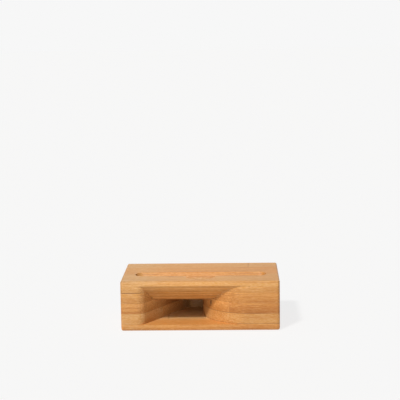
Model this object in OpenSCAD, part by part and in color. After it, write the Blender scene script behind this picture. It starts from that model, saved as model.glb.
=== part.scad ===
// Phone stand with a folded sound horn, cut from a block of glued bamboo strips.
// Millimetres. X is the length, Y runs from front to back and Z is up.
// The origin is the middle of the bottom face.

/* [Block] */
// Length of the block, left to right
body_l = 100; // [92:1:130]
// Depth of the block, front to back
body_d = 55; // [52:1:75]
// Radius of the four upright edges
upright_edge_r = 2; // [0.5:0.1:3]
// Radius of the edges round the bottom face
bottom_edge_r = 2; // [0.5:0.1:3]
// Radius of the edges round the top face
top_edge_r = 1.2; // [0.5:0.1:3]

/* [Bamboo strips] */
// Thickness of the planed bottom layer
base_t = 4.4; // [4.2:0.1:8]
// Thickness of each of the three layers in the middle
layer_t = 6.7; // [6:0.05:9]
// Thickness of the top layer
top_t = 7.5; // [6:0.05:10]
// Full width of a strip, front to back
strip_w = 20; // [16:0.5:24]
// Front face to the first strip joint in the base layer
base_joint = 15; // [6:0.5:18]
// Front face to the first strip joint in the lower layer
lower_joint = 20; // [15:0.5:24]
// Front face to the first strip joint in the centre layer
centre_joint = 2.8; // [2:0.1:6]
// Front face to the first strip joint in the upper layer
upper_joint = 16; // [12:0.5:20]
// Front face to the first strip joint in the top layer
top_joint = 21; // [18:0.5:24]

/* [Phone slot] */
// Width of the widest phone that goes in
phone_w = 77.6; // [60:0.1:80]
// Thickness of the thickest phone that goes in
phone_t = 8; // [6:0.1:10]
// Room at each end of the phone
phone_end_clearance = 3.2; // [1:0.1:5]
// Room across the phone's thickness, both sides together
phone_face_clearance = 2; // [0.5:0.1:3]
// Backward lean of the phone
lean = 28; // [10:1:30]
// Depth of the slot's front wall, along the lean
slot_depth = 7.5; // [5:0.1:9]
// Front face to the slot's front edge at the top
slot_front = 15; // [14:0.1:20]

/* [Thumb notch] */
// Radius of the notch in front of the slot
notch_r = 9.4; // [5:0.1:10]
// How far the notch reaches forward from the slot
notch_reach = 10.5; // [9:0.1:11]
// Depth of the notch below the top face
notch_depth = 5; // [2:0.1:5.5]
// Radius where the notch runs out into the slot
notch_shoulder_r = 1; // [0.5:0.1:3]

/* [Sound horn] */
// Wood left under the horn
floor_t = 4; // [3:0.1:4.2]
// Wood left above the mouth on the front face
lintel_t = 3.1; // [2:0.1:5]
// Slope of the mouth's ceiling from level
ceiling_slope = 45; // [40:1:55]
// Middle of the block to the throat's right wall
throat_x = 1; // [-2:0.5:5]
// Radius of the right wall where it flares to the front face
flare_r = 30; // [24:0.5:32]
// Middle of the block to the left wall's line at the front face, to the left
mouth_left = 36.6; // [30:0.1:40]
// Angle of the left wall from straight back
left_wall_angle = 31; // [20:1:35]
// Radius of the left wall's nose at the front face
nose_r = 6.5; // [2:0.5:9]
// Wood left behind the horn
back_wall_t = 8; // [5:0.5:12]
// Thickness of the divider that the horn folds round
divider_t = 11; // [8:0.5:13]
// Corner radius of the horn where it is cut square
pocket_corner_r = 4; // [2:0.5:4]

/* [Speaker port] */
// Length of the port in the slot's floor, along X
port_l = 16; // [8:0.5:20]
// Width of the port, front to back
port_w = 8; // [5:0.5:9]

/* [Hidden] */
$fn = 96;

// Cutting shapes run this far past what they cut
overcut = 2;
// Glue lines between the layers, from the bottom up
base_top = base_t;
lower_top = base_top + layer_t;
centre_top = lower_top + layer_t;
upper_top = centre_top + layer_t;
body_h = upper_top + top_t;
// The block's faces in its own frame
front_y = -body_d / 2;
back_y = body_d / 2;
side_x = body_l / 2;
// The slot fits round the phone
slot_l = phone_w + 2 * phone_end_clearance;
slot_w = phone_t + phone_face_clearance;
slot_front_y = front_y + slot_front;
slot_floor_front_z = body_h - slot_depth * cos(lean);
slot_floor_y = slot_front_y - slot_depth * sin(lean) + slot_w / 2 * cos(lean);
// The notch's floor and the middle of its round end
notch_floor_z = body_h - notch_depth;
notch_y = slot_front_y - notch_reach + notch_r;
// The horn runs from its floor to the centre layer's top, and opens up to the mouth in front
horn_ceiling_z = centre_top;
mouth_top_z = body_h - lintel_t;
horn_back_y = back_y - back_wall_t;
flare_x = throat_x + flare_r;
flare_y = front_y + flare_r;
nose_x = -mouth_left + nose_r * (tan(left_wall_angle) - 1 / cos(left_wall_angle));
nose_y = front_y + nose_r;
// The speaker port opens into a pocket on the far side of the divider
pocket_left_x = throat_x + divider_t;
pocket_right_x = pocket_left_x + port_l;
pocket_front_y = slot_floor_y - port_w / 2;
port_x = (pocket_left_x + pocket_right_x) / 2;
// The horn's rounded back corner on the left
back_corner_y = horn_back_y - pocket_corner_r;
back_corner_x = left_wall_x(back_corner_y) + pocket_corner_r / cos(left_wall_angle);
// Upright planes inside the horn where its two sides are told apart
throat_split_x = (left_wall_x(horn_back_y) + throat_x) / 2;
pocket_split_x = port_x;
// Layer tones
pale = [0.87, 0.66, 0.40];
honey = [0.83, 0.60, 0.33];
amber = [0.78, 0.54, 0.28];

// Where the left wall's line stands at a given y
function left_wall_x(y) = -mouth_left + (y - front_y) * tan(left_wall_angle);

// A slot's outline with full-round ends
module stadium(length, width) {
    square([length - width, width], center = true);
    for (side = [-1, 1])
        translate([side * (length - width) / 2, 0])
            circle(d = width);
}

// What rounding a corner at the origin takes away
module corner_waste(r) {
    difference() {
        translate([-overcut, -overcut])
            square(r + overcut);
        translate([r, r])
            circle(r);
    }
}

// A rectangle centred on x, standing on y = 0, with its lower and upper corners rounded
module eased_rectangle(width, height, lower_r, upper_r) {
    difference() {
        translate([-width / 2, 0])
            square([width, height]);
        for (side = [0, 1])
            mirror([side, 0]) {
                translate([-width / 2, 0])
                    corner_waste(lower_r);
                translate([-width / 2, height])
                    mirror([0, 1])
                        corner_waste(upper_r);
            }
    }
}

// The whole block before anything is cut into it
module block() {
    intersection() {
        translate([0, front_y, 0])
            linear_extrude(body_h)
                eased_rectangle(body_l, body_d, upright_edge_r, upright_edge_r);
        rotate([90, 0, 0])
            linear_extrude(body_d, center = true)
                eased_rectangle(body_l, body_h, bottom_edge_r, top_edge_r);
        rotate([90, 0, 90])
            linear_extrude(body_l, center = true)
                eased_rectangle(body_d, body_h, bottom_edge_r, top_edge_r);
    }
}

// The horn's mouth and throat seen from above, back to the end of the flare
module mouth_outline() {
    difference() {
        polygon([
            [left_wall_x(front_y - overcut), front_y - overcut],
            [flare_x, front_y - overcut],
            [flare_x, flare_y],
            [left_wall_x(flare_y), flare_y]
        ]);
        translate([flare_x, flare_y])
            circle(flare_r);
    }
    difference() {
        polygon([
            [nose_x, front_y - overcut],
            [left_wall_x(front_y - overcut) + overcut, front_y - overcut],
            [left_wall_x(nose_y) + overcut, nose_y],
            [nose_x, nose_y]
        ]);
        translate([nose_x, nose_y])
            circle(nose_r);
        polygon([
            [nose_x, nose_y],
            [nose_x + nose_r * cos(left_wall_angle), nose_y - nose_r * sin(left_wall_angle)],
            [left_wall_x(nose_y + overcut), nose_y + overcut],
            [nose_x, nose_y + overcut]
        ]);
    }
}

// The rest of the horn from above: the throat, the turn round the divider and the pocket
module folded_outline() {
    difference() {
        polygon([
            [left_wall_x(flare_y), flare_y],
            [pocket_split_x, flare_y],
            [pocket_split_x, horn_back_y],
            [back_corner_x, horn_back_y],
            [back_corner_x, back_corner_y],
            [
                back_corner_x - pocket_corner_r * cos(left_wall_angle),
                back_corner_y + pocket_corner_r * sin(left_wall_angle)
            ]
        ]);
        translate([throat_x, flare_y - overcut])
            square([divider_t, overcut]);
        translate([throat_x + divider_t / 2, flare_y])
            circle(d = divider_t);
    }
    translate([back_corner_x, back_corner_y])
        circle(pocket_corner_r);
    translate([port_x, pocket_front_y])
        eased_rectangle(port_l, horn_back_y - pocket_front_y, pocket_corner_r, pocket_corner_r);
}

// The air inside the horn
module horn_space() {
    translate([0, 0, floor_t])
        linear_extrude(horn_ceiling_z - floor_t) {
            mouth_outline();
            folded_outline();
        }
    intersection() {
        translate([0, 0, floor_t])
            linear_extrude(mouth_top_z - floor_t + overcut)
                mouth_outline();
        rotate([90, 0, 90])
            linear_extrude(body_l, center = true)
                ceiling_profile();
    }
}

// Side view of the mouth under its sloping ceiling
module ceiling_profile() {
    run = (mouth_top_z - horn_ceiling_z) / tan(ceiling_slope);
    polygon([
        [front_y - overcut, floor_t],
        [front_y - overcut, mouth_top_z + overcut * tan(ceiling_slope)],
        [front_y + run, horn_ceiling_z],
        [front_y + run, floor_t]
    ]);
}

// The leaning slot for the phone
module slot_space() {
    translate([0, slot_front_y, body_h])
        rotate([-lean, 0, 0])
            translate([0, slot_w / 2, -slot_depth])
                linear_extrude(slot_depth + slot_w)
                    stadium(slot_l, slot_w);
}

// The notch that bares the phone's bottom edge
module notch_space() {
    shoulder_y = slot_front_y - notch_shoulder_r;
    shoulder_x = notch_r + notch_shoulder_r;
    translate([0, 0, notch_floor_z])
        linear_extrude(notch_depth + overcut) {
            translate([0, notch_y])
                circle(notch_r);
            translate([-notch_r, notch_y])
                square([2 * notch_r, slot_floor_y - notch_y]);
            difference() {
                translate([-shoulder_x, shoulder_y])
                    square([2 * shoulder_x, slot_floor_y - shoulder_y]);
                for (side = [-1, 1])
                    translate([side * shoulder_x, shoulder_y])
                        circle(notch_shoulder_r);
            }
        }
}

// The port from the slot's floor down into the pocket
module port_space() {
    translate([port_x, slot_floor_y, horn_ceiling_z - overcut])
        linear_extrude(slot_floor_front_z - horn_ceiling_z + overcut)
            stadium(port_l, port_w);
}

// What one strip keeps of the finished block: its layer, its depth and its length
module strip(from_z, to_z, from_y, to_y, from_x = -side_x, to_x = side_x) {
    difference() {
        intersection() {
            block();
            translate([from_x, from_y, from_z])
                cube([to_x - from_x, to_y - from_y, to_z - from_z]);
        }
        horn_space();
        slot_space();
        notch_space();
        port_space();
    }
}

module base_front_strip() {
    color(honey)
        strip(0, base_top, front_y, front_y + base_joint);
}

module base_middle_strip() {
    color(pale)
        strip(0, base_top, front_y + base_joint, front_y + base_joint + strip_w);
}

module base_rear_strip() {
    color(honey)
        strip(0, base_top, front_y + base_joint + strip_w, back_y);
}

module lower_front_left_strip() {
    color(pale)
        strip(base_top, lower_top, front_y, front_y + lower_joint, to_x = throat_split_x);
}

module lower_front_right_strip() {
    color(pale)
        strip(base_top, lower_top, front_y, front_y + lower_joint, from_x = throat_split_x);
}

module lower_middle_left_strip() {
    color(honey)
        strip(base_top, lower_top, front_y + lower_joint, front_y + lower_joint + strip_w,
            to_x = throat_split_x);
}

module lower_divider_block() {
    color(honey)
        strip(base_top, lower_top, front_y + lower_joint, front_y + lower_joint + strip_w,
            from_x = throat_split_x, to_x = pocket_split_x);
}

module lower_middle_right_strip() {
    color(honey)
        strip(base_top, lower_top, front_y + lower_joint, front_y + lower_joint + strip_w,
            from_x = pocket_split_x);
}

module lower_rear_strip() {
    color(pale)
        strip(base_top, lower_top, front_y + lower_joint + strip_w, back_y);
}

module centre_edge_left_strip() {
    color(amber)
        strip(lower_top, centre_top, front_y, front_y + centre_joint, to_x = throat_split_x);
}

module centre_edge_right_strip() {
    color(amber)
        strip(lower_top, centre_top, front_y, front_y + centre_joint, from_x = throat_split_x);
}

module centre_front_left_strip() {
    color(honey)
        strip(lower_top, centre_top, front_y + centre_joint, front_y + centre_joint + strip_w,
            to_x = throat_split_x);
}

module centre_front_right_strip() {
    color(honey)
        strip(lower_top, centre_top, front_y + centre_joint, front_y + centre_joint + strip_w,
            from_x = throat_split_x);
}

module centre_middle_left_strip() {
    color(amber)
        strip(lower_top, centre_top, front_y + centre_joint + strip_w,
            front_y + centre_joint + 2 * strip_w, to_x = throat_split_x);
}

module centre_divider_block() {
    color(amber)
        strip(lower_top, centre_top, front_y + centre_joint + strip_w,
            front_y + centre_joint + 2 * strip_w, from_x = throat_split_x, to_x = pocket_split_x);
}

module centre_middle_right_strip() {
    color(amber)
        strip(lower_top, centre_top, front_y + centre_joint + strip_w,
            front_y + centre_joint + 2 * strip_w, from_x = pocket_split_x);
}

module centre_rear_strip() {
    color(honey)
        strip(lower_top, centre_top, front_y + centre_joint + 2 * strip_w, back_y);
}

module upper_front_strip() {
    color(honey)
        strip(centre_top, upper_top, front_y, front_y + upper_joint);
}

module upper_middle_strip() {
    color(amber)
        strip(centre_top, upper_top, front_y + upper_joint, front_y + upper_joint + strip_w);
}

module upper_rear_strip() {
    color(honey)
        strip(centre_top, upper_top, front_y + upper_joint + strip_w, back_y);
}

module top_front_strip() {
    color(pale)
        strip(upper_top, body_h, front_y, front_y + top_joint);
}

module top_middle_strip() {
    color(honey)
        strip(upper_top, body_h, front_y + top_joint, front_y + top_joint + strip_w);
}

module top_rear_strip() {
    color(pale)
        strip(upper_top, body_h, front_y + top_joint + strip_w, back_y);
}

base_front_strip();
base_middle_strip();
base_rear_strip();
lower_front_left_strip();
lower_front_right_strip();
lower_middle_left_strip();
lower_divider_block();
lower_middle_right_strip();
lower_rear_strip();
centre_edge_left_strip();
centre_edge_right_strip();
centre_front_left_strip();
centre_front_right_strip();
centre_middle_left_strip();
centre_divider_block();
centre_middle_right_strip();
centre_rear_strip();
upper_front_strip();
upper_middle_strip();
upper_rear_strip();
top_front_strip();
top_middle_strip();
top_rear_strip();
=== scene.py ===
"""Looks of a bamboo phone stand: eased copies of its glued strips, their finish, and the studio round them.

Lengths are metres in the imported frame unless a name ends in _mm. The bamboo's grain runs along X.
"""

from __future__ import annotations

import logging
import math
from dataclasses import dataclass, field
from enum import Enum

import bmesh
import bpy
import numpy as np
from mathutils import Matrix, Vector
from mathutils.bvhtree import BVHTree


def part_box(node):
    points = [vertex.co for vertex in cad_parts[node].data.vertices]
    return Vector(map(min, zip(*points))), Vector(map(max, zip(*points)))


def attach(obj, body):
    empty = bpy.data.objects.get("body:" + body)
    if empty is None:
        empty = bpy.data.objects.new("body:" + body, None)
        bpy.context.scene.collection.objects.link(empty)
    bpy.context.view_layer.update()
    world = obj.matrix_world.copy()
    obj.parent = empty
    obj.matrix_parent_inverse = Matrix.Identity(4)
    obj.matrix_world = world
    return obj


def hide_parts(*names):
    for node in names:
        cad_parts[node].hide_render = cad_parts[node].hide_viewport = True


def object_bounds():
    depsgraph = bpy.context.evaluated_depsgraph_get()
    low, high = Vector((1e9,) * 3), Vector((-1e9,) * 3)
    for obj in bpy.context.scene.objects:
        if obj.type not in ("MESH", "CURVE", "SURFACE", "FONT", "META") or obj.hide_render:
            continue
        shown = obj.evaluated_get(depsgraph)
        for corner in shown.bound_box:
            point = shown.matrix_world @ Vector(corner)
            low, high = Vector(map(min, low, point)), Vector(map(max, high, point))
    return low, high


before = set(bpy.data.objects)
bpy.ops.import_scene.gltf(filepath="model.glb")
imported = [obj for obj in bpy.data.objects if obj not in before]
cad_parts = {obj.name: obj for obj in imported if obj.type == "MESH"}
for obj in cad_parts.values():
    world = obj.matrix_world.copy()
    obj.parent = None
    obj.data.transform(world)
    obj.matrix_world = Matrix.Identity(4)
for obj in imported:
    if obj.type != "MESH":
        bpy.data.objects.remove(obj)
CAD_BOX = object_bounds()

LOG = logging.getLogger("phone_stand")
BODY = "root"
MM = 0.001
SEED_SHIFT = (3.1, 1.7, 2.3)
OUTSIDE_MM = 0.1

Socket = bpy.types.NodeSocket
Colour = tuple[float, float, float]
Triple = tuple[float, float, float]
Pair = tuple[float, float]


class Tone(Enum):
    """Shades that the strips come in, each with the record's slot of the same name."""

    PALE = "pale_bamboo"
    HONEY = "honey_bamboo"
    AMBER = "amber_bamboo"


class DenseSide(Enum):
    """The side of a strip that was the outside of the cane, where the fibre bundles crowd."""

    BELOW = "below"
    ABOVE = "above"


@dataclass(frozen=True)
class ToneColours:
    """Colours of one shade of bamboo, as linear RGB."""

    light: Colour
    deep: Colour
    bundle: Colour


TONES: dict[Tone, ToneColours] = {
    Tone.PALE: ToneColours((0.650, 0.355, 0.135), (0.560, 0.265, 0.080), (0.400, 0.155, 0.036)),
    Tone.HONEY: ToneColours((0.610, 0.300, 0.096), (0.510, 0.215, 0.054), (0.350, 0.122, 0.026)),
    Tone.AMBER: ToneColours((0.570, 0.262, 0.076), (0.455, 0.175, 0.038), (0.300, 0.098, 0.019)),
}
GLUE: Colour = (0.165, 0.066, 0.022)
MARK: Colour = (0.085, 0.035, 0.014)


@dataclass(frozen=True)
class Blemish:
    """A dark natural fleck in the bamboo: an ellipsoid by its centre and half-widths."""

    centre_mm: Triple
    half_mm: Triple
    strength: float = 0.8


@dataclass(frozen=True)
class Stripe:
    """A darker or lighter growth layer: a plane that leans up towards the block's front."""

    height_mm: float
    half_mm: float
    amount: float


@dataclass(frozen=True)
class StripLook:
    """How one strip differs from its neighbours."""

    node: str
    tone: Tone
    seed: float
    dense: DenseSide = DenseSide.BELOW
    shade: float = 1.0
    gradient: float = 0.05
    # Below 1, paints shade on the strip's front face.
    skin: float = 1.0
    joint_show: float = 1.0
    knuckles_mm: tuple[float, ...] = ()
    blemishes: tuple[Blemish, ...] = ()
    stripes: tuple[Stripe, ...] = ()
    open_seam: bool = False
    crisp: bool = False


@dataclass(frozen=True)
class Pattern:
    """A texture's feature size along X, Y and Z, its step from the strip's seed, and its octaves."""

    size_mm: Triple
    step: float = 0.0
    detail: float = 2.0


class Graph:
    """Builds a material's node tree from short calls that each return an output socket."""

    def __init__(self, tree: bpy.types.NodeTree) -> None:
        """Keeps the tree to add to.

        Args:
            tree: The node tree of a material or a world.
        """
        self.tree = tree

    def node(self, kind: str, **settings: object) -> bpy.types.Node:
        """Adds a node.

        Args:
            kind: Blender's name for the node type.
            **settings: Properties to set on it.

        Returns:
            The new node.
        """
        made = self.tree.nodes.new(kind)
        for name, value in settings.items():
            setattr(made, name, value)
        return made

    def feed(self, target: Socket, value: object) -> None:
        """Links a socket to an input, or sets the input to a constant.

        Args:
            target: The input socket.
            value: An output socket, a number or a vector.
        """
        if isinstance(value, bpy.types.NodeSocket):
            self.tree.links.new(value, target)
        else:
            target.default_value = value

    def math(self, operation: str, *values: object) -> Socket:
        """Joins up to three numbers by a Math node.

        Args:
            operation: The Math node's operation.
            *values: Sockets or numbers.

        Returns:
            The result.
        """
        made = self.node("ShaderNodeMath", operation=operation)
        for target, value in zip(made.inputs, values):
            self.feed(target, value)
        return made.outputs[0]

    def vector(self, operation: str, *values: object) -> Socket:
        """Joins vectors by a Vector Math node; LENGTH returns its number.

        Args:
            operation: The Vector Math node's operation.
            *values: Sockets or triples.

        Returns:
            The result.
        """
        made = self.node("ShaderNodeVectorMath", operation=operation)
        for target, value in zip(made.inputs, values):
            self.feed(target, value)
        return made.outputs["Value" if operation == "LENGTH" else "Vector"]

    def ramp(self, value: object, start: float, end: float) -> Socket:
        """Smooth step of a number: 0 at start, 1 at end, whichever is larger.

        Args:
            value: The number to map.
            start: Where the result is 0.
            end: Where the result is 1.

        Returns:
            A number from 0 to 1.
        """
        made = self.node("ShaderNodeMapRange", interpolation_type="SMOOTHSTEP")
        low, high = min(start, end), max(start, end)
        self.feed(made.inputs["Value"], value)
        self.feed(made.inputs["From Min"], low)
        self.feed(made.inputs["From Max"], high)
        self.feed(made.inputs["To Min"], 0.0 if start < end else 1.0)
        self.feed(made.inputs["To Max"], 1.0 if start < end else 0.0)
        return made.outputs["Result"]

    def mix(self, amount: object, first: object, second: object, blend: str = "MIX") -> Socket:
        """Mixes two colours.

        Args:
            amount: How much of the second colour, from 0 to 1.
            first: A colour or a colour socket.
            second: The same.
            blend: The Mix node's blend type.

        Returns:
            The mixed colour.
        """
        made = self.node("ShaderNodeMix", data_type="RGBA", blend_type=blend)
        self.feed(made.inputs["Factor"], amount)
        for target, value in ((made.inputs[6], first), (made.inputs[7], second)):
            self.feed(target, (*value, 1.0) if isinstance(value, tuple) else value)
        return made.outputs[2]

    def noise_node(self, place: Socket, pattern: Pattern, seed: float) -> bpy.types.Node:
        """Adds a noise whose features are about as long as the pattern says along each axis.

        Args:
            place: Position in millimetres.
            pattern: Its feature size, step and octaves.
            seed: The strip's seed, which pieces cut from one strip share.

        Returns:
            The noise node.
        """
        made = self.node("ShaderNodeTexNoise")
        self.feed(made.inputs["Vector"], self.stretched(place, pattern, seed))
        self.feed(made.inputs["Scale"], 1.0)
        self.feed(made.inputs["Detail"], pattern.detail)
        return made

    def noise(self, place: Socket, pattern: Pattern, seed: float) -> Socket:
        """One number from noise_node(), round 0.5, by the same arguments."""
        return self.noise_node(place, pattern, seed).outputs[0]

    def cells(self, place: Socket, pattern: Pattern, seed: float) -> Socket:
        """Distance to the nearest of many scattered points, drawn out along the grain.

        Args:
            place: Position in millimetres.
            pattern: Its cell size and step.
            seed: The strip's seed.

        Returns:
            The distance, in cells.
        """
        made = self.node("ShaderNodeTexVoronoi", feature="F1")
        self.feed(made.inputs["Vector"], self.stretched(place, pattern, seed))
        self.feed(made.inputs["Scale"], 1.0)
        return made.outputs["Distance"]

    def stretched(self, place: Socket, pattern: Pattern, seed: float) -> Socket:
        """Position divided by a pattern's feature size, then moved by the seed.

        Args:
            place: Position in millimetres.
            pattern: Its feature size and step.
            seed: The strip's seed.

        Returns:
            The position for a texture node.
        """
        scaled = self.vector("MULTIPLY", place, tuple(1.0 / size for size in pattern.size_mm))
        moved = seed + pattern.step
        return self.vector("ADD", scaled, tuple(moved * shift for shift in SEED_SHIFT))


@dataclass(frozen=True)
class BambooFinish:
    """Sanded and oiled flat-pressed bamboo, as a solid texture: streaks along the grain, dots across it."""

    fine_bundles: Pattern = Pattern((26.0, 0.62, 0.54))
    coarse_bundles: Pattern = Pattern((34.0, 1.20, 1.00), 31.0)
    streaks: Pattern = Pattern((9.0, 0.22, 0.19), 5.0, 3.0)
    dashes: Pattern = Pattern((4.2, 0.75, 0.62), 7.0, 1.0)
    pores: Pattern = Pattern((2.0, 0.60, 0.52), 6.0, 1.0)
    ripples: Pattern = Pattern((42.0, 1.25, 1.05), 8.0, 1.5)
    bands: Pattern = Pattern((110.0, 3.2, 2.2), 9.0)
    clouds: Pattern = Pattern((30.0, 14.0, 11.0), 13.0, 1.0)
    drift: Pattern = Pattern((75.0, 60.0, 60.0), 21.0, 1.0)
    glue_breaks: Pattern = Pattern((22.0, 9.0, 9.0), 41.0)
    edge_patches: Pattern = Pattern((7.0, 5.0, 5.0), 51.0)
    knuckle_rag: Pattern = Pattern((6.0, 3.0, 3.0))
    fleck_rag: Pattern = Pattern((1.4, 0.7, 0.7))
    drift_reach_mm: float = 1.3
    fine_bundle_edge: Pair = (0.50, 0.26)
    coarse_bundle_edge: Pair = (0.42, 0.22)
    coarse_span: Pair = (0.15, 0.70)
    end_cut_power: float = 1.5
    depth_middle: float = 0.46
    depth_span: Pair = (-0.10, 1.05)
    age_share: float = 0.42
    band_share: float = 0.36
    ripple_share: float = 0.34
    dash_share: float = 0.46
    cloud_share: float = 0.60
    end_share: float = 0.26
    band_span: Pair = (0.30, 0.70)
    dash_span: Pair = (0.28, 0.72)
    dark_streak_span: Pair = (0.52, 0.78)
    pale_streak_span: Pair = (0.47, 0.26)
    streak_show: float = 0.36
    pale_dash_span: Pair = (0.44, 0.26)
    pale_dash_show: float = 0.30
    bleach: Colour = (1.06, 1.20, 1.60)
    bundle_show: float = 0.34
    bundle_end_show: float = 0.30
    pore_span: Pair = (0.28, 0.72)
    pore_deep_tint: Colour = (0.955, 0.90, 0.71)
    pore_light_tint: Colour = (1.045, 1.09, 1.27)
    left_tint: Colour = (0.97, 0.99, 0.97)
    middle_tint: Colour = (1.00, 0.93, 0.77)
    right_tint: Colour = (0.92, 0.86, 0.71)
    left_fade_mm: Pair = (-43.0, -18.0)
    right_fade_mm: Pair = (0.0, 45.0)
    stripe_lean: float = 0.5
    stripe_wander: float = 0.25
    stripe_fade_mm: Pair = (44.0, 38.0)
    line_core: float = 0.3
    front_shade_depth_mm: float = 0.7
    front_shade_full_mm: float = 0.1
    deepening: Triple = (1.0, 1.15, 1.4)
    # Painted light deep inside the mouth: lighter and less orange.
    inside_painted_light: Colour = (0.97, 1.15, 1.50)
    inside_light_depth_mm: Pair = (-23.0, -6.0)
    inside_light_gap_mm: Pair = (1.8, 3.6)
    # Painted shade for the top edges and painted light for the bottom edges, as multipliers.
    top_edge_painted_shade: Colour = (0.80, 0.76, 0.70)
    foot_edge_painted_light: Colour = (1.16, 1.12, 1.08)
    edge_gap_mm: Pair = (1.5, 0.3)
    edge_patch_span: Pair = (0.25, 0.70)
    edge_least: float = 0.7
    edge_patch_share: float = 0.3
    glue_half_mm: float = 0.10
    glue_show: dict[str, float] = field(default_factory=lambda: {"Y": 0.16, "Z": 0.42})
    glue_break_span: Pair = (0.30, 0.66)
    glue_least: float = 0.45
    open_seam_half_mm: float = 0.28
    open_seam_core: float = 0.35
    open_seam_fade_mm: Pair = (-35.5, -38.5)
    knuckle_half_mm: float = 1.6
    knuckle_rag_mm: float = 2.2
    knuckle_ring_share: float = 0.55
    knuckle_swell_core_mm: float = 0.2
    knuckle_swell_show: float = 0.45
    knuckle_ring_show: float = 0.50
    fleck_rag_share: float = 1.2
    fleck_core: float = 0.35
    specular: float = 0.42
    roughness: float = 0.50
    roughness_drop: float = 0.06
    streak_roughness: float = 0.16
    bundle_gloss: float = 0.05
    worn_gloss: float = 0.08
    streak_height: float = 0.6
    bundle_height: float = 0.35
    glue_sink: float = 0.9
    bump_strength: float = 0.55
    bump_height: float = 0.00004

    def material(self, look: StripLook, glue_planes_mm: GluePlanes) -> bpy.types.Material:
        """Makes the material of one strip.

        Args:
            look: The strip's own shade and marks.
            glue_planes_mm: Where the strip is glued, and the range of its thickness.

        Returns:
            The material.
        """
        made = bpy.data.materials.new(f"{look.node}_bamboo")
        made.use_nodes = True
        made.node_tree.nodes.clear()
        g = Graph(made.node_tree)
        place = g.vector("MULTIPLY", g.node("ShaderNodeTexCoord").outputs["Object"], (1.0 / MM,) * 3)
        parts = g.node("ShaderNodeSeparateXYZ")
        g.feed(parts.inputs[0], place)
        grain = self.along_grain(g, place, look)
        age = self.age(g, parts.outputs["Z"], look, glue_planes_mm)
        bundles = self.bundles(g, grain, age, look.seed)
        streaks = g.noise(grain, self.streaks, look.seed)
        ground = self.wood(g, place, grain, age, bundles, streaks, look)
        ground = self.with_tint(g, ground, parts.outputs["X"])
        ground = self.with_layers(g, ground, age, parts, grain, look)
        ground = self.with_knuckles(g, ground, parts.outputs["X"], place, look)
        ground = self.with_blemishes(g, ground, place, look)
        glue = self.glue_lines(g, parts, place, look, glue_planes_mm)
        ground = g.mix(glue, ground, GLUE)
        gaps = self.outer_gaps(g, parts)
        # Painted light on the surfaces deep inside the mouth.
        ground = self.with_painted_light_inside(g, ground, gaps, parts.outputs["Y"])
        edge_wear_and_paint = self.edge_wear_and_painted_light(g, gaps, place, look.seed)
        # Painted shade darkens the outer edges near the top and painted light brightens those near the
        # bottom, blended by height.
        height = g.ramp(parts.outputs["Z"], CAD_BOX[0].z / MM, CAD_BOX[1].z / MM)
        edge_painted_light_and_shade = g.mix(height, self.foot_edge_painted_light, self.top_edge_painted_shade)
        ground = g.mix(edge_wear_and_paint, ground, g.mix(1.0, ground, edge_painted_light_and_shade, "MULTIPLY"))
        shader = g.node("ShaderNodeBsdfPrincipled")
        g.feed(shader.inputs["Base Color"], ground)
        g.feed(shader.inputs["Roughness"], self.rough(g, streaks, bundles, edge_wear_and_paint))
        g.feed(shader.inputs["Specular IOR Level"], self.specular)
        g.feed(shader.inputs["Normal"], self.relief(g, streaks, bundles, glue))
        out = g.node("ShaderNodeOutputMaterial")
        g.feed(out.inputs["Surface"], shader.outputs[0])
        made.diffuse_color = (*TONES[look.tone].light, 1.0)
        return made

    def wood(
        self,
        g: Graph,
        place: Socket,
        grain: Socket,
        age: Socket,
        bundles: Socket,
        streaks: Socket,
        look: StripLook,
    ) -> Socket:
        """Colour of the plain wood: its depth of tone, streaks, fibre bundles and pores.

        Args:
            g: The material's graph.
            place: Position in millimetres.
            grain: Position along the grain.
            age: From age().
            bundles: Fibre bundles.
            streaks: Fine streaks.
            look: The strip, for its colours and seed.

        Returns:
            The colour.
        """
        colours = TONES[look.tone]
        light = self.shaded(colours.light, look)
        dark = self.shaded(colours.bundle, look)
        dashes = g.noise(grain, self.dashes, look.seed)
        ripples = g.ramp(g.noise(grain, self.ripples, look.seed), *self.band_span)
        bands = g.ramp(g.noise(grain, self.bands, look.seed), *self.band_span)
        clouds = g.noise(place, self.clouds, look.seed)
        end_cut = self.end_cut(g)
        depth: object = self.depth_middle
        shares = (
            (g.math("SUBTRACT", 0.5, age), self.age_share),
            (g.math("SUBTRACT", bands, 0.5), self.band_share),
            (g.math("SUBTRACT", ripples, 0.5), self.ripple_share),
            (g.math("SUBTRACT", g.ramp(dashes, *self.dash_span), 0.5), self.dash_share),
            (g.math("SUBTRACT", clouds, 0.5), self.cloud_share),
            (end_cut, self.end_share),
        )
        for value, share in shares:
            depth = g.math("ADD", depth, g.math("MULTIPLY", value, share))
        ground = g.mix(g.ramp(depth, *self.depth_span), light, self.shaded(colours.deep, look))
        fine = g.math("MULTIPLY", g.ramp(streaks, *self.dark_streak_span), self.streak_show)
        ground = g.mix(fine, ground, dark)
        bleached = tuple(min(1.0, c * k) for c, k in zip(light, self.bleach))
        pale = g.math("MULTIPLY", g.ramp(streaks, *self.pale_streak_span), self.streak_show)
        pale_dashes = g.math("MULTIPLY", g.ramp(dashes, *self.pale_dash_span), self.pale_dash_show)
        ground = g.mix(g.math("ADD", pale, pale_dashes), ground, bleached)
        show = g.math("ADD", self.bundle_show, g.math("MULTIPLY", end_cut, self.bundle_end_show))
        ground = g.mix(g.math("MULTIPLY", bundles, show), ground, dark)
        pores = g.ramp(g.noise(grain, self.pores, look.seed), *self.pore_span)
        hue = g.mix(pores, self.pore_deep_tint, self.pore_light_tint)
        return g.mix(1.0, ground, hue, "MULTIPLY")

    @staticmethod
    def shaded(colour: Colour, look: StripLook) -> Colour:
        """The colour times the strip's own shade.

        Args:
            colour: A linear colour.
            look: The strip, for its shade.

        Returns:
            The shaded colour, none of it above 1.
        """
        return tuple(min(1.0, c * look.shade) for c in colour)

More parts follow.
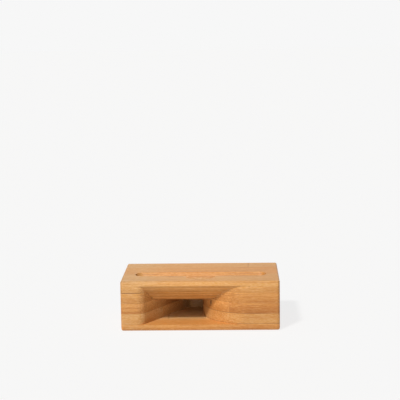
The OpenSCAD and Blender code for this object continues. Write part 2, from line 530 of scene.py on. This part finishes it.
    def with_tint(self, g: Graph, ground: Socket, x: Socket) -> Socket:
        """Makes the block paler towards its left end, more orange in the middle and darker towards its right
        end.

        Args:
            g: The material's graph.
            ground: The colour so far.
            x: Position along the grain, in millimetres.

        Returns:
            The tinted colour.
        """
        tint = g.mix(g.ramp(x, *self.left_fade_mm), self.left_tint, self.middle_tint)
        tint = g.mix(g.ramp(x, *self.right_fade_mm), tint, self.right_tint)
        return g.mix(1.0, ground, tint, "MULTIPLY")

    def with_layers(
        self, g: Graph, ground: Socket, age: Socket, parts: bpy.types.Node, grain: Socket, look: StripLook
    ) -> Socket:
        """Darkens a strip towards its dense side, adds its growth stripes, and paints shade on its front
        face.

        Args:
            g: The material's graph.
            ground: The colour so far.
            age: From age().
            parts: Separate XYZ of the position in millimetres.
            grain: Position along the grain.
            look: The strip, for its gradient, stripes and the painted shade of its front face.

        Returns:
            The layered colour.
        """
        level = g.math("MULTIPLY", g.math("SUBTRACT", age, 0.5), 2.0 * look.gradient)
        front = CAD_BOX[0].y / MM
        if look.stripes:
            drifted = g.node("ShaderNodeSeparateXYZ")
            g.feed(drifted.inputs[0], grain)
            lean = g.math("MULTIPLY", g.math("SUBTRACT", parts.outputs["Y"], front), self.stripe_lean)
            height = g.math("ADD", parts.outputs["Z"], lean)
            wander = g.math("SUBTRACT", drifted.outputs["Z"], parts.outputs["Z"])
            height = g.math("ADD", height, g.math("MULTIPLY", wander, self.stripe_wander))
            fade = g.ramp(g.math("ABSOLUTE", parts.outputs["X"]), *self.stripe_fade_mm)
            for stripe in look.stripes:
                away = g.math("ABSOLUTE", g.math("SUBTRACT", height, stripe.height_mm))
                line = g.ramp(away, stripe.half_mm, stripe.half_mm * self.line_core)
                line = g.math("MULTIPLY", line, fade)
                level = g.math("ADD", level, g.math("MULTIPLY", line, stripe.amount))
        level = g.math("ADD", level, 1.0)
        # Painted shade: darkens the strip's front face by its own factor.
        if look.skin != 1.0:
            face = g.ramp(parts.outputs["Y"], front + self.front_shade_depth_mm, front + self.front_shade_full_mm)
            level = g.math("MULTIPLY", level, g.math("ADD", 1.0, g.math("MULTIPLY", face, look.skin - 1.0)))
        even = g.node("ShaderNodeCombineXYZ")
        for target, power in zip(even.inputs, self.deepening):
            g.feed(target, g.math("POWER", level, power))
        return g.mix(1.0, ground, even.outputs[0], "MULTIPLY")

    def along_grain(self, g: Graph, place: Socket, look: StripLook) -> Socket:
        """Position with the slow sideways drift of the fibres added.

        Args:
            g: The material's graph.
            place: Position in millimetres.
            look: The strip, for its seed.

        Returns:
            The drifted position.
        """
        made = g.noise_node(place, self.drift, look.seed)
        away = g.vector("SUBTRACT", made.outputs["Color"], (0.5, 0.5, 0.5))
        reach = 2.0 * self.drift_reach_mm
        return g.vector("ADD", place, g.vector("MULTIPLY", away, (0.0, reach, reach)))

    @staticmethod
    def age(g: Graph, z: Socket, look: StripLook, planes: GluePlanes) -> Socket:
        """How far a point is from the cane's outside: 0 where bundles crowd, 1 where they are sparse.

        Args:
            g: The material's graph.
            z: Height in millimetres.
            look: The strip, for its dense side.
            planes: The strip's thickness range.

        Returns:
            A number from 0 to 1.
        """
        if look.dense is DenseSide.BELOW:
            return g.ramp(z, planes.low_z, planes.high_z)
        return g.ramp(z, planes.high_z, planes.low_z)

    def bundles(self, g: Graph, grain: Socket, age: Socket, seed: float) -> Socket:
        """Fibre bundles: small and crowded near the cane's outside, larger and apart inside.

        Args:
            g: The material's graph.
            grain: Position along the grain.
            age: From age().
            seed: The strip's seed.

        Returns:
            1 in a bundle, 0 between them.
        """
        fine = g.ramp(g.cells(grain, self.fine_bundles, seed), *self.fine_bundle_edge)
        coarse = g.ramp(g.cells(grain, self.coarse_bundles, seed), *self.coarse_bundle_edge)
        inner = g.ramp(age, *self.coarse_span)
        outer = g.math("SUBTRACT", 1.0, inner)
        return g.math("MAXIMUM", g.math("MULTIPLY", fine, outer), g.math("MULTIPLY", coarse, inner))

    def end_cut(self, g: Graph) -> Socket:
        """How much of the fibres' ends a surface shows: 1 where it faces along the grain.

        Args:
            g: The material's graph.

        Returns:
            A number from 0 to 1.
        """
        normal = g.node("ShaderNodeSeparateXYZ")
        g.feed(normal.inputs[0], g.node("ShaderNodeNewGeometry").outputs["Normal"])
        return g.math("POWER", g.math("ABSOLUTE", normal.outputs["X"]), self.end_cut_power)

    def with_knuckles(self, g: Graph, ground: Socket, x: Socket, place: Socket, look: StripLook) -> Socket:
        """Adds the cane's knuckles: a dark ragged ring beside a pale swollen one.

        Args:
            g: The material's graph.
            ground: The colour so far.
            x: Position along the grain, in millimetres.
            place: Position in millimetres.
            look: The strip, for its colours and where its knuckles are.

        Returns:
            The colour with the knuckles.
        """
        if not look.knuckles_mm:
            return ground
        colours = TONES[look.tone]
        light = self.shaded(colours.light, look)
        dark = self.shaded(colours.bundle, look)
        half = self.knuckle_half_mm
        ragged = g.math("SUBTRACT", g.noise(place, self.knuckle_rag, look.seed), 0.5)
        ragged = g.math("MULTIPLY", ragged, self.knuckle_rag_mm)
        for at_mm in look.knuckles_mm:
            away = g.math("SUBTRACT", g.math("ADD", x, ragged), at_mm)
            ring = g.ramp(g.math("ABSOLUTE", away), half * self.knuckle_ring_share, 0.0)
            beside = g.math("ABSOLUTE", g.math("SUBTRACT", away, half))
            swell = g.ramp(beside, half, self.knuckle_swell_core_mm)
            ground = g.mix(g.math("MULTIPLY", swell, self.knuckle_swell_show), ground, light)
            ground = g.mix(g.math("MULTIPLY", ring, self.knuckle_ring_show), ground, dark)
        return ground

    def with_blemishes(self, g: Graph, ground: Socket, place: Socket, look: StripLook) -> Socket:
        """Adds the strip's dark flecks, each a soft-edged ellipsoid roughened by noise.

        Args:
            g: The material's graph.
            ground: The colour so far.
            place: Position in millimetres.
            look: The strip, for its flecks.

        Returns:
            The colour with the flecks.
        """
        for fleck in look.blemishes:
            scaled = g.vector("SUBTRACT", place, fleck.centre_mm)
            scaled = g.vector("MULTIPLY", scaled, tuple(1.0 / half for half in fleck.half_mm))
            ragged = g.math("SUBTRACT", g.noise(place, self.fleck_rag, look.seed), 0.5)
            ragged = g.math("MULTIPLY", ragged, self.fleck_rag_share)
            away = g.math("ADD", g.vector("LENGTH", scaled), ragged)
            show = g.math("MULTIPLY", g.ramp(away, 1.0, self.fleck_core), fleck.strength)
            ground = g.mix(show, ground, MARK)
        return ground

    def glue_lines(
        self, g: Graph, parts: bpy.types.Node, place: Socket, look: StripLook, planes: GluePlanes
    ) -> Socket:
        """Thin dark lines where the strip meets its neighbours.

        Args:
            g: The material's graph.
            parts: Separate XYZ of the position in millimetres.
            place: Position in millimetres.
            look: The strip, for its seed and its open seam.
            planes: The strip's glued planes.

        Returns:
            How much glue shows, from 0 to 1.
        """
        total: object = 0.0
        broken = g.ramp(g.noise(place, self.glue_breaks, look.seed), *self.glue_break_span)
        strength = g.math("ADD", broken, self.glue_least)
        half = self.glue_half_mm * look.joint_show
        for axis, at_mm in planes.glued:
            away = g.math("ABSOLUTE", g.math("SUBTRACT", parts.outputs[axis], at_mm))
            line = g.ramp(away, half, half * self.line_core)
            most = self.glue_show[axis] * look.joint_show
            line = g.math("MULTIPLY", line, g.math("MULTIPLY", strength, most))
            total = g.math("MAXIMUM", total, line)
        if look.open_seam:
            away = g.math("ABSOLUTE", g.math("SUBTRACT", parts.outputs["Z"], planes.open_z))
            line = g.ramp(away, self.open_seam_half_mm, self.open_seam_half_mm * self.open_seam_core)
            line = g.math("MULTIPLY", line, g.ramp(parts.outputs["X"], *self.open_seam_fade_mm))
            total = g.math("MAXIMUM", total, line)
        return total

    @staticmethod
    def outer_gaps(g: Graph, parts: bpy.types.Node) -> list[Socket]:
        """Distance to the nearer outer face of the block along each axis, in millimetres.

        Args:
            g: The material's graph.
            parts: Separate XYZ of the position in millimetres.

        Returns:
            One distance for each axis.
        """
        low, high = (np.array(corner) / MM for corner in CAD_BOX)
        gaps: list[Socket] = []
        for axis, name in enumerate("XYZ"):
            half = (high[axis] - low[axis]) / 2
            middle = (high[axis] + low[axis]) / 2
            off = g.math("ABSOLUTE", g.math("SUBTRACT", parts.outputs[name], float(middle)))
            gaps.append(g.math("SUBTRACT", float(half), off))
        return gaps

    def edge_wear_and_painted_light(self, g: Graph, gaps: list[Socket], place: Socket, seed: float) -> Socket:
        """Mask along the block's outer edges, where two outer faces are both near: it carries the painted
        shade of the top edges, the painted light of the bottom edges, and their smoother wood.

        Args:
            g: The material's graph.
            gaps: From outer_gaps().
            place: Position in millimetres.
            seed: The strip's seed.

        Returns:
            A number from 0 to 1.
        """
        near_two = g.math(
            "MINIMUM",
            g.math("MAXIMUM", gaps[0], gaps[1]),
            g.math("MINIMUM", g.math("MAXIMUM", gaps[1], gaps[2]), g.math("MAXIMUM", gaps[0], gaps[2])),
        )
        patchy = g.ramp(g.noise(place, self.edge_patches, seed), *self.edge_patch_span)
        edge = g.ramp(near_two, *self.edge_gap_mm)
        patchy = g.math("MULTIPLY", patchy, self.edge_patch_share)
        return g.math("MULTIPLY", edge, g.math("ADD", self.edge_least, patchy))

    def with_painted_light_inside(self, g: Graph, ground: Socket, gaps: list[Socket], y: Socket) -> Socket:
        """Paints light on the surfaces deep inside the block: lighter and less orange, to offset the shade
        and the orange bounced light there.

        Args:
            g: The material's graph.
            ground: The colour so far.
            gaps: From outer_gaps().
            y: Position across the grain, in millimetres.

        Returns:
            The colour with the painted light inside.
        """
        nearest = g.math("MINIMUM", g.math("MINIMUM", gaps[0], gaps[1]), gaps[2])
        inside = g.math("MULTIPLY", g.ramp(nearest, *self.inside_light_gap_mm), g.ramp(y, *self.inside_light_depth_mm))
        return g.mix(inside, ground, g.mix(1.0, ground, self.inside_painted_light, "MULTIPLY"))

    def rough(self, g: Graph, streaks: Socket, bundles: Socket, edge_wear_and_paint: Socket) -> Socket:
        """Roughness: bundles are denser and a little glossier, and rubbed edges smoother.

        Args:
            g: The material's graph.
            streaks: Fine streaks.
            bundles: Fibre bundles.
            edge_wear_and_paint: The edge mask from edge_wear_and_painted_light(); here it makes the edges
                smoother.

        Returns:
            The roughness.
        """
        least = self.roughness - self.roughness_drop
        value = g.math("ADD", least, g.math("MULTIPLY", streaks, self.streak_roughness))
        value = g.math("SUBTRACT", value, g.math("MULTIPLY", bundles, self.bundle_gloss))
        return g.math("SUBTRACT", value, g.math("MULTIPLY", edge_wear_and_paint, self.worn_gloss))

    def relief(self, g: Graph, streaks: Socket, bundles: Socket, glue: Socket) -> Socket:
        """Bump of the sanded fibres: bundles stand proud, streaks roll, glue lines sink.

        Args:
            g: The material's graph.
            streaks: Fine streaks.
            bundles: Fibre bundles.
            glue: Glue lines.

        Returns:
            The bumped normal.
        """
        rolls = g.math("MULTIPLY", streaks, self.streak_height)
        height = g.math("ADD", rolls, g.math("MULTIPLY", bundles, self.bundle_height))
        height = g.math("SUBTRACT", height, g.math("MULTIPLY", glue, self.glue_sink))
        bump = g.node("ShaderNodeBump")
        bump.inputs["Strength"].default_value = self.bump_strength
        bump.inputs["Distance"].default_value = self.bump_height
        g.feed(bump.inputs["Height"], height)
        return bump.outputs[0]


@dataclass(frozen=True)
class GluePlanes:
    """A strip's glued planes and thickness, in millimetres."""

    glued: tuple[tuple[str, float], ...]
    low_z: float
    high_z: float
    open_z: float

    @classmethod
    def of(cls, node: str, open_z: float) -> GluePlanes:
        """Reads a node's box and keeps the faces that aren't on the block's outside.

        Args:
            node: The CAD node.
            open_z: Height of the joint that stands slightly open.

        Returns:
            The planes.
        """
        low, high = (np.array(corner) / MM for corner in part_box(node))
        block_low, block_high = (np.array(corner) / MM for corner in CAD_BOX)
        glued: list[tuple[str, float]] = []
        for axis, name in ((1, "Y"), (2, "Z")):
            if low[axis] > block_low[axis] + OUTSIDE_MM:
                glued.append((name, float(low[axis])))
            if high[axis] < block_high[axis] - OUTSIDE_MM:
                glued.append((name, float(high[axis])))
        return cls(tuple(glued), float(low[2]), float(high[2]), open_z)


@dataclass
class StripMesher:
    """Copies a strip's mesh, welds it, and eases its free edges with a small bevel."""

    ease: float = 0.00028
    crisp_share: float = 0.3
    segments: int = 2
    weld: float = 0.000002
    sharp_angle: float = math.radians(28.0)
    flat_angle: float = math.radians(0.3)
    face_weight: int = 100
    probe: float = 0.00015
    touch: float = 0.00001
    surfaces: dict[str, BVHTree] = field(default_factory=dict)

    def learn(self, node: str) -> None:
        """Keeps a search tree of a node's surface, to tell glued faces from free ones.

        Args:
            node: The CAD node.
        """
        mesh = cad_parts[node].data
        corners = [tuple(v.co) for v in mesh.vertices]
        self.surfaces[node] = BVHTree.FromPolygons(corners, [tuple(p.vertices) for p in mesh.polygons])

    def build(self, node: str, crisp: bool) -> bpy.types.Object:
        """Makes the eased copy of one strip.

        Args:
            node: The CAD node to copy.
            crisp: Whether its edges are left sharper than the others'.

        Returns:
            The new object, at the origin.
        """
        mesh = self.welded(node)
        self.mark_edges(mesh, node, self.crisp_share if crisp else 1.0)
        made = bpy.data.objects.new(f"eased_{node}", mesh)
        bpy.context.scene.collection.objects.link(made)
        bevel = made.modifiers.new("eased_edges", "BEVEL")
        bevel.width = self.ease
        bevel.segments = self.segments
        bevel.limit_method = "WEIGHT"
        bevel.miter_outer = "MITER_ARC"
        bevel.use_clamp_overlap = True
        shading = made.modifiers.new("even_shading", "WEIGHTED_NORMAL")
        shading.keep_sharp = True
        shading.weight = self.face_weight
        return made

    def welded(self, node: str) -> bpy.types.Mesh:
        """The node's triangles with doubled corners merged and flat neighbours joined.

        Args:
            node: The CAD node.

        Returns:
            A new mesh.
        """
        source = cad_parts[node].data
        corners = np.empty(len(source.vertices) * 3)
        source.vertices.foreach_get("co", corners)
        corners = corners.reshape(-1, 3)
        loops = np.empty(len(source.loops), int)
        source.loops.foreach_get("vertex_index", loops)
        keys = np.round(corners / self.weld).astype(np.int64)
        _, first, back = np.unique(keys, axis=0, return_index=True, return_inverse=True)
        faces = back.reshape(-1)[loops].reshape(-1, 3)
        whole = (faces != np.roll(faces, -1, axis=1)).all(axis=1)
        mesh = bpy.data.meshes.new(f"eased_{node}")
        mesh.from_pydata(corners[first].tolist(), [], faces[whole].tolist())
        work = bmesh.new()
        work.from_mesh(mesh)
        bmesh.ops.dissolve_limit(
            work, angle_limit=self.flat_angle, verts=work.verts[:], edges=work.edges[:]
        )
        work.to_mesh(mesh)
        work.free()
        return mesh

    def mark_edges(self, mesh: bpy.types.Mesh, node: str, share: float) -> None:
        """Marks sharp edges, and weights those that are free on both sides for the bevel.

        Args:
            mesh: The welded mesh.
            node: The CAD node that it was copied from.
            share: The bevel's share of the full width.
        """
        work = bmesh.new()
        work.from_mesh(mesh)
        weight = work.edges.layers.float.new("bevel_weight_edge")
        for face in work.faces:
            face.smooth = True
        for edge in work.edges:
            if len(edge.link_faces) != 2:
                continue
            angle = edge.calc_face_angle_signed(0.0)
            free = not any(self.glued(edge, face, node) for face in edge.link_faces)
            if abs(angle) > self.sharp_angle:
                edge.smooth = False
                if free and angle > 0.0:
                    edge[weight] = share
                    edge.smooth = True
        work.to_mesh(mesh)
        work.free()

    def glued(self, edge: bmesh.types.BMEdge, face: bmesh.types.BMFace, node: str) -> bool:
        """Whether a face is covered by another strip just beside an edge.

        Args:
            edge: The edge.
            face: One of its two faces.
            node: The strip that they belong to.

        Returns:
            True if another strip's surface lies on it there.
        """
        start, end = (v.co for v in edge.verts)
        along = (end - start).normalized()
        inward = face.normal.cross(along)
        loop = next(item for item in edge.link_loops if item.face == face)
        if loop.vert is not edge.verts[0]:
            inward.negate()
        spot = (start + end) / 2 + inward * self.probe
        for other, surface in self.surfaces.items():
            if other == node:
                continue
            if surface.find_nearest(spot, self.touch)[0] is not None:
                return True
        return False


@dataclass
class StripLayer:
    """One glued layer of the block: its strips and how each looks."""

    name: str
    looks: tuple[StripLook, ...]
    finish: BambooFinish
    mesher: StripMesher
    open_seam_mm: float
    pieces: list[bpy.types.Object] = field(default_factory=list)

    def build(self) -> None:
        """Makes the eased copy of every strip in the layer."""
        for look in self.looks:
            self.pieces.append(self.mesher.build(look.node, look.crisp))

    def dress(self) -> None:
        """Gives each strip its material and ties it to the frame."""
        for look, piece in zip(self.looks, self.pieces):
            planes = GluePlanes.of(look.node, self.open_seam_mm)
            piece.data.materials.append(self.finish.material(look, planes))
            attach(piece, BODY)
            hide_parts(look.node)
            LOG.info("%s layer: %s is %s", self.name, piece.name, look.tone.value)


@dataclass(frozen=True)
class StudioCamera:
    """The camera, by its place in millimetres and its turn in degrees."""

    place_mm: Triple = (22.375, -724.411, 191.245)
    yaw: float = -1.763
    pitch_down: float = 8.801
    roll: float = -0.834
    lens: float = 102.83
    sensor: float = 36.0
    clip: Pair = (0.01, 100.0)

    def build(self) -> None:
        """Makes the camera and gives it to the scene."""
        yaw, pitch, roll = (math.radians(v) for v in (self.yaw, self.pitch_down, self.roll))
        flat = math.cos(pitch)
        ahead = Vector((math.sin(yaw) * flat, math.cos(yaw) * flat, -math.sin(pitch)))
        level = Vector((math.cos(yaw), -math.sin(yaw), 0.0))
        upright = level.cross(ahead)
        right = level * math.cos(roll) + upright * math.sin(roll)
        up = upright * math.cos(roll) - level * math.sin(roll)
        data = bpy.data.cameras.new("studio_camera")
        data.lens = self.lens
        data.sensor_width = self.sensor
        data.clip_start, data.clip_end = self.clip
        made = bpy.data.objects.new("studio_camera", data)
        turn = Matrix((right, up, -ahead)).transposed()
        made.matrix_world = Matrix.Translation(Vector(self.place_mm) * MM) @ turn.to_4x4()
        bpy.context.scene.collection.objects.link(made)
        bpy.context.scene.camera = made


@dataclass(frozen=True)
class Lamp:
    """A distant lamp with a soft edge; its power is the brightness of white paper that faces it."""

    name: str
    towards: Triple
    spread: float
    power: float
    colour: Colour = (1.0, 0.985, 0.955)

    def lights_floor(self) -> float:
        """Brightness that the lamp alone gives to level white paper."""
        return self.power * Vector(self.towards).normalized().z

    def build(self) -> None:
        """Makes the lamp."""
        data = bpy.data.lights.new(self.name, "SUN")
        data.energy = self.power * math.pi
        data.angle = math.radians(self.spread)
        data.color = self.colour
        made = bpy.data.objects.new(self.name, data)
        made.rotation_mode = "QUATERNION"
        made.rotation_quaternion = Vector(self.towards).to_track_quat("Z", "Y")
        bpy.context.scene.collection.objects.link(made)


@dataclass
class Studio:
    """Pale floor lit from below, white surround, two lamps and camera."""

    camera: StudioCamera = field(default_factory=StudioCamera)
    key: Lamp = Lamp("key_light", (-0.495, -0.78, 1.04), 7.0, 0.817)
    fill: Lamp = Lamp("fill_light", (-0.10, -1.0, 0.50), 40.0, 0.20)
    white: float = 0.93
    room: float = 0.22
    floor_half: float = 8.0
    floor_far: float = 16.0
    floor_grey: float = 0.15
    floor_gap: float = 0.0002

    def build(self) -> None:
        """Makes everything round the stand."""
        self.key.build()
        self.fill.build()
        self.build_surround()
        self.build_floor(CAD_BOX[0].z - self.floor_gap)
        self.camera.build()
        bpy.context.scene.view_settings.view_transform = "Standard"

    def build_surround(self) -> None:
        """A surround that looks and gleams white, and lights the stand softly."""
        world = bpy.data.worlds.new("white_surround")
        world.use_nodes = True
        world.node_tree.nodes.clear()
        g = Graph(world.node_tree)
        rays = g.node("ShaderNodeLightPath")
        seen = g.math("MAXIMUM", rays.outputs["Is Camera Ray"], rays.outputs["Is Glossy Ray"])
        strength = g.math("ADD", self.room, g.math("MULTIPLY", seen, self.white - self.room))
        back = g.node("ShaderNodeBackground")
        g.feed(back.inputs["Strength"], strength)
        g.feed(back.inputs["Color"], (1.0, 1.0, 1.0, 1.0))
        g.feed(g.node("ShaderNodeOutputWorld").inputs["Surface"], back.outputs[0])
        bpy.context.scene.world = world

    def build_floor(self, height: float) -> None:
        """A large lit floor, as white as the surround, that takes a faint shadow and is clear from below.

        Args:
            height: Just under the height that the stand rests at.
        """
        half = self.floor_half
        far = self.floor_far  # Further on one side, so the edge between its triangles misses the stand.
        corners = [(-half, -half, height), (far, -half, height), (far, half, height), (-half, half, height)]
        mesh = bpy.data.meshes.new("studio_floor")
        mesh.from_pydata(corners, [], [(0, 1, 2, 3)])
        floor = bpy.data.objects.new("studio_floor", mesh)
        bpy.context.scene.collection.objects.link(floor)
        material = bpy.data.materials.new("lit_paper")
        material.use_nodes = True
        shader = material.node_tree.nodes["Principled BSDF"]
        taken = self.floor_grey * (self.key.lights_floor() + self.fill.lights_floor() + self.room)
        shader.inputs["Base Color"].default_value = (self.floor_grey,) * 3 + (1.0,)
        shader.inputs["Roughness"].default_value = 1.0
        shader.inputs["Specular IOR Level"].default_value = 0.0
        shader.inputs["Emission Color"].default_value = (1.0, 1.0, 1.0, 1.0)
        shader.inputs["Emission Strength"].default_value = self.white - taken
        g = Graph(material.node_tree)
        sided = g.node("ShaderNodeMixShader")
        g.feed(sided.inputs[0], g.node("ShaderNodeNewGeometry").outputs["Backfacing"])
        g.feed(sided.inputs[1], shader.outputs[0])
        g.feed(sided.inputs[2], g.node("ShaderNodeBsdfTransparent").outputs[0])
        g.feed(material.node_tree.nodes["Material Output"].inputs["Surface"], sided.outputs[0])
        mesh.materials.append(material)


def strip_looks() -> dict[str, tuple[StripLook, ...]]:
    """Every strip's look, layer by layer from the bottom.

    Returns:
        Layer name to its strips.
    """
    wall_fleck = Blemish((6.6, -14.9, 15.2), (0.75, 1.2, 2.4))
    ceiling_flecks = (
        Blemish((-31.0, -17.9, 19.3), (0.8, 0.9, 0.7), 0.6),
        Blemish((-33.0, -21.1, 22.5), (0.6, 0.8, 0.5), 0.5),
    )
    top_stripes = (Stripe(28.4, 0.25, -0.07), Stripe(27.75, 0.50, 0.13))
    upper_stripes = (
        Stripe(26.6, 0.16, -0.16),
        Stripe(25.8, 0.20, -0.15),
        Stripe(25.3, 0.18, 0.09),
        Stripe(24.75, 0.20, -0.18),
        Stripe(24.2, 0.18, 0.07),
        Stripe(23.5, 0.30, -0.18),
    )
    return {
        "base": (
            StripLook("base_front_strip", Tone.HONEY, 1.3, shade=1.14, gradient=0.02, skin=0.85, crisp=True),
            StripLook("base_middle_strip", Tone.PALE, 2.9, gradient=0.12, knuckles_mm=(-21.0,)),
            StripLook("base_rear_strip", Tone.HONEY, 4.1, gradient=0.12),
        ),
        "lower": (
            StripLook("lower_front_left_strip", Tone.PALE, 5.7, shade=0.98, gradient=0.0),
            StripLook(
                "lower_front_right_strip",
                Tone.PALE,
                5.7,
                dense=DenseSide.ABOVE,
                shade=1.01,
                gradient=0.0,
                skin=0.92,
                # Glue lines drawn 2.3 times as wide and as dark, darkening the foot of its curved wall along
                # the floor.
                joint_show=2.3,
            ),
            StripLook("lower_middle_left_strip", Tone.HONEY, 6.2, shade=1.10),
            StripLook("lower_divider_block", Tone.HONEY, 6.2),
            StripLook("lower_middle_right_strip", Tone.HONEY, 6.2),
            StripLook("lower_rear_strip", Tone.PALE, 7.9, knuckles_mm=(24.0,)),
        ),
        "centre": (
            StripLook("centre_edge_left_strip", Tone.AMBER, 8.8, shade=1.04),
            StripLook("centre_edge_right_strip", Tone.AMBER, 8.8, shade=0.97, gradient=0.09),
            StripLook("centre_front_left_strip", Tone.HONEY, 9.4, gradient=0.09, blemishes=(wall_fleck,)),
            StripLook(
                "centre_front_right_strip",
                Tone.HONEY,
                9.4,
                shade=1.05,
                gradient=0.07,
                blemishes=(wall_fleck,),
            ),
            StripLook("centre_middle_left_strip", Tone.AMBER, 10.6),
            StripLook("centre_divider_block", Tone.AMBER, 10.6),
            StripLook("centre_middle_right_strip", Tone.AMBER, 10.6),
            StripLook("centre_rear_strip", Tone.HONEY, 11.5, gradient=0.09),
        ),
        "upper": (
            StripLook(
                "upper_front_strip",
                Tone.HONEY,
                12.7,
                blemishes=ceiling_flecks,
                stripes=upper_stripes,
                open_seam=True,
            ),
            StripLook("upper_middle_strip", Tone.AMBER, 13.2),
            StripLook("upper_rear_strip", Tone.HONEY, 14.6, knuckles_mm=(-33.0,)),
        ),
        "top": (
            StripLook(
                "top_front_strip",
                Tone.PALE,
                15.1,
                shade=1.02,
                gradient=0.06,
                stripes=top_stripes,
                open_seam=True,
            ),
            StripLook("top_middle_strip", Tone.HONEY, 16.8, shade=1.08, gradient=0.08),
            StripLook("top_rear_strip", Tone.PALE, 17.3, shade=1.03, gradient=0.08, knuckles_mm=(31.0,)),
        ),
    }


def main() -> None:
    """Builds the studio, then the block layer by layer, and reports each piece."""
    logging.basicConfig(level=logging.INFO, format="%(message)s")
    Studio().build()
    mesher = StripMesher()
    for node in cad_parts:
        mesher.learn(node)
    open_seam_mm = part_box("top_front_strip")[0].z / MM
    finish = BambooFinish()
    for name, looks in strip_looks().items():
        layer = StripLayer(name, looks, finish, mesher, open_seam_mm)
        layer.build()
        layer.dress()


if __name__ == "__main__":
    main()
